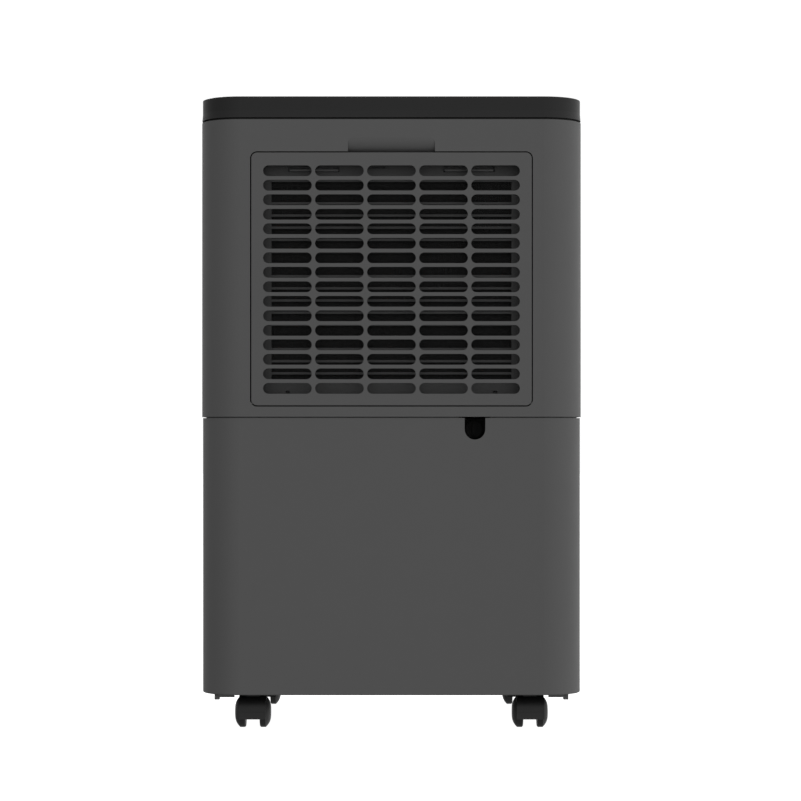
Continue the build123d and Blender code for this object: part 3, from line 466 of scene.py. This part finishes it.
def make_fin_pack(node, name):
    """Corrugated fins close together, across the tubes of one coil."""
    low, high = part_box(node)
    build = bmesh.new()
    half = FIN_THICKNESS / 2
    count = int((high.x - low.x) / FIN_PITCH)
    for i in range(count):
        x = low.x + FIN_THICKNESS + i * (high.x - low.x - 2 * FIN_THICKNESS) / (count - 1)
        lean = FIN_LEAN * math.sin(i * 2.4)
        rings = []
        for k in range(FIN_WAVES + 1):
            y = low.y + k * (high.y - low.y) / FIN_WAVES
            shift = (FIN_WAVE if k % 2 else -FIN_WAVE) * (1 if 0 < k < FIN_WAVES else 0)
            left = min(max(x + shift + lean * k / FIN_WAVES, low.x + FIN_THICKNESS), high.x - FIN_THICKNESS)
            corners = ((low.z, -half), (low.z, half), (high.z, half), (high.z, -half))
            rings.append([build.verts.new((left + dx, y, z)) for z, dx in corners])
        for a, b in zip(rings, rings[1:]):
            for j in range(4):
                build.faces.new((a[j], a[(j + 1) % 4], b[(j + 1) % 4], b[j]))
        build.faces.new(rings[0][::-1])
        build.faces.new(rings[-1])
    bmesh.ops.recalc_face_normals(build, faces=build.faces)
    return new_piece(name, build, "casing", "fins", [node])


def add_slab(build, outline, height, thickness, face="Z"):
    """A thin printed shape: an outline of (a, b) points given a thickness, lying flat or facing the front."""
    def place(a, b, h):
        return (a, b, h) if face == "Z" else (a, h, b)

    lower = [build.verts.new(place(a, b, height)) for a, b in outline]
    upper = [build.verts.new(place(a, b, height + thickness)) for a, b in outline]
    count = len(outline)
    for i in range(count):
        j = (i + 1) % count
        build.faces.new((lower[i], lower[j], upper[j], upper[i]))
    build.faces.new(lower[::-1])
    build.faces.new(upper)


def arc_points(x, y, radius, start, end, count):
    angles = [math.radians(start + (end - start) * i / (count - 1)) for i in range(count)]
    return [(x + radius * math.cos(a), y + radius * math.sin(a)) for a in angles]


def band(x, y, inner, outer, start, end, count=24):
    """Outline of part of a ring."""
    return arc_points(x, y, outer, start, end, count) + arc_points(x, y, inner, end, start, count)


def bar(x, y, half_width, half_height):
    return [(x - half_width, y - half_height), (x + half_width, y - half_height),
            (x + half_width, y + half_height), (x - half_width, y + half_height)]


def power_icon(x, y, r):
    return [band(x, y, 0.78 * r, r, 125, 415), bar(x, y + 0.75 * r, 0.11 * r, 0.45 * r)]


def fan_icon(x, y, r):
    shapes = [arc_points(x, y, 0.16 * r, 0, 345, 12)]
    for turn in (90, 210, 330):
        a = math.radians(turn)
        blade = []
        for px, py in arc_points(0.0, 0.0, 1.0, 0, 340, 18):
            along, across = 0.62 * r + 0.36 * r * px, 0.24 * r * py + 0.1 * r * px
            blade.append((x + along * math.cos(a) - across * math.sin(a),
                          y + along * math.sin(a) + across * math.cos(a)))
        shapes.append(blade)
    return shapes


def drop_icon(x, y, r):
    return [[(x, y + 1.1 * r)] + arc_points(x, y - 0.3 * r, 0.66 * r, 160, 380, 20)]


def clock_icon(x, y, r):
    return [band(x, y, 0.84 * r, r, 0, 180), band(x, y, 0.84 * r, r, 180, 360),
            bar(x, y + 0.3 * r, 0.08 * r, 0.34 * r), bar(x + 0.2 * r, y, 0.24 * r, 0.08 * r)]


def make_icons():
    """Raised pale symbols on the four buttons."""
    drawn = {"button_power": power_icon, "button_fan_speed": fan_icon, "button_humidity": drop_icon,
             "button_timer": clock_icon}
    for node, draw in drawn.items():
        low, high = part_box(node)
        build = bmesh.new()
        radius = 0.25 * (high.x - low.x)
        for outline in draw((low.x + high.x) / 2, (low.y + high.y) / 2, radius):
            add_slab(build, outline, high.z - MARK_SINK, SYMBOL_HEIGHT)
        bmesh.ops.recalc_face_normals(build, faces=build.faces)
        new_piece(node + "_symbol", build, node, "inner_plastic", [])


def make_display_bars():
    """Lit level bars under the display window's smoked face."""
    low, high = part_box("display_window")
    build = bmesh.new()
    step = (high.x - low.x) / 14
    for i in range(5):
        rise = (0.22 + 0.09 * i) * (high.y - low.y)
        x = (low.x + high.x) / 2 + (i - 2) * step
        add_slab(build, bar(x, low.y + 0.2 * (high.y - low.y) + rise / 2, 0.3 * step, rise / 2),
                 high.z - MARK_SINK, DISPLAY_BAR_HEIGHT)
    bmesh.ops.recalc_face_normals(build, faces=build.faces)
    new_piece("display_level_bars", build, "casing", "lamp", [])


def make_level_marks():
    """Moulded level marks along the tank window."""
    low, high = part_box("tank_window")
    build = bmesh.new()
    for i in range(9):
        z = low.z + (0.12 + 0.095 * i) * (high.z - low.z)
        half = (0.2 if i % 2 == 0 else 0.11) * (high.x - low.x)
        add_slab(build, bar(high.x - 0.18 * (high.x - low.x) - half, z, half, 0.35 * MM), low.y - 0.1 * MM,
                 0.12 * MM, face="Y")
    bmesh.ops.recalc_face_normals(build, faces=build.faces)
    new_piece("tank_level_marks", build, "tank", "inner_plastic", [])


make_icons()
make_display_bars()
make_level_marks()
make_filter_net()
make_fin_pack("evaporator_fins", "evaporator_fin_pack")
make_fin_pack("condenser_fins", "condenser_fin_pack")


# ---------------------------------------------------------------- stage and light

def make_stage():
    mesh = bpy.data.meshes.new("floor")
    size = 14.0
    corners = [(-size, -size, 0), (size, -size, 0), (size, size, 0), (-size, size, 0)]
    mesh.from_pydata(corners, [], [(0, 1, 2, 3)])
    floor = bpy.data.objects.new("floor", mesh)
    bpy.context.collection.objects.link(floor)
    floor.visible_diffuse = False
    floor.visible_glossy = False
    n = Nodes("studio_floor")
    n.put("Base Color", n.tint(n.noise(3.0), (0.28,) * 3, (0.3,) * 3))
    n.shader.inputs["Roughness"].default_value = 0.9
    n.shader.inputs["Specular IOR Level"].default_value = 0.0
    n.shader.inputs["Emission Color"].default_value = (1.0, 1.0, 1.0, 1.0)
    n.shader.inputs["Emission Strength"].default_value = 1.0
    mesh.materials.append(n.material)


SKY_BASE = 1.14
SKY = (("X", 1, -0.62), ("X", -1, 0.2), ("Y", 1, 0.0), ("Y", -1, -0.15), ("Z", 1, 0.35), ("Z", -1, -0.75))


def make_light():
    """A large soft studio, uneven by direction as SKY says, and pure white where the camera looks."""
    world = bpy.data.worlds.new("studio")
    bpy.context.scene.world = world
    world.use_nodes = True
    tree = world.node_tree
    coords = tree.nodes.new("ShaderNodeTexCoord")
    split = tree.nodes.new("ShaderNodeSeparateXYZ")
    tree.links.new(coords.outputs["Generated"], split.inputs[0])
    total = None
    for axis, side, gain in SKY:
        toward = tree.nodes.new("ShaderNodeMath")
        toward.operation = "MULTIPLY"
        toward.use_clamp = True
        toward.inputs[1].default_value = side
        tree.links.new(split.outputs[axis], toward.inputs[0])
        part = tree.nodes.new("ShaderNodeMath")
        part.operation = "MULTIPLY_ADD"
        part.inputs[1].default_value = gain
        part.inputs[2].default_value = SKY_BASE
        tree.links.new(toward.outputs["Value"], part.inputs[0])
        if total is not None:
            tree.links.new(total, part.inputs[2])
        total = part.outputs["Value"]
    glow = tree.nodes["Background"]
    glow.inputs["Color"].default_value = (1.0, 1.0, 1.0, 1.0)
    tree.links.new(total, glow.inputs["Strength"])
    plain = tree.nodes.new("ShaderNodeBackground")
    plain.inputs["Color"].default_value = (1.0, 1.0, 1.0, 1.0)
    plain.inputs["Strength"].default_value = 1.05
    path = tree.nodes.new("ShaderNodeLightPath")
    mix = tree.nodes.new("ShaderNodeMixShader")
    tree.links.new(path.outputs["Is Camera Ray"], mix.inputs["Fac"])
    tree.links.new(glow.outputs["Background"], mix.inputs[1])
    tree.links.new(plain.outputs["Background"], mix.inputs[2])
    tree.links.new(mix.outputs["Shader"], tree.nodes["World Output"].inputs["Surface"])


def make_soft_box():
    """A large soft lamp above the front, out of the camera's sight."""
    soft_box = bpy.data.lights.new("soft_box", "AREA")
    soft_box.shape = "RECTANGLE"
    soft_box.size = 1.6
    soft_box.size_y = 1.2
    soft_box.energy = 55.0
    lamp = bpy.data.objects.new("soft_box", soft_box)
    lamp.location = (1.3, -2.1, 2.3)
    lamp.rotation_euler = (Vector((0.0, 0.0, 0.25)) - lamp.location).to_track_quat("-Z", "Y").to_euler()
    lamp.visible_camera = False
    bpy.context.collection.objects.link(lamp)


make_camera()
make_stage()
make_light()
make_soft_box()
bpy.context.scene.view_settings.view_transform = "Standard"
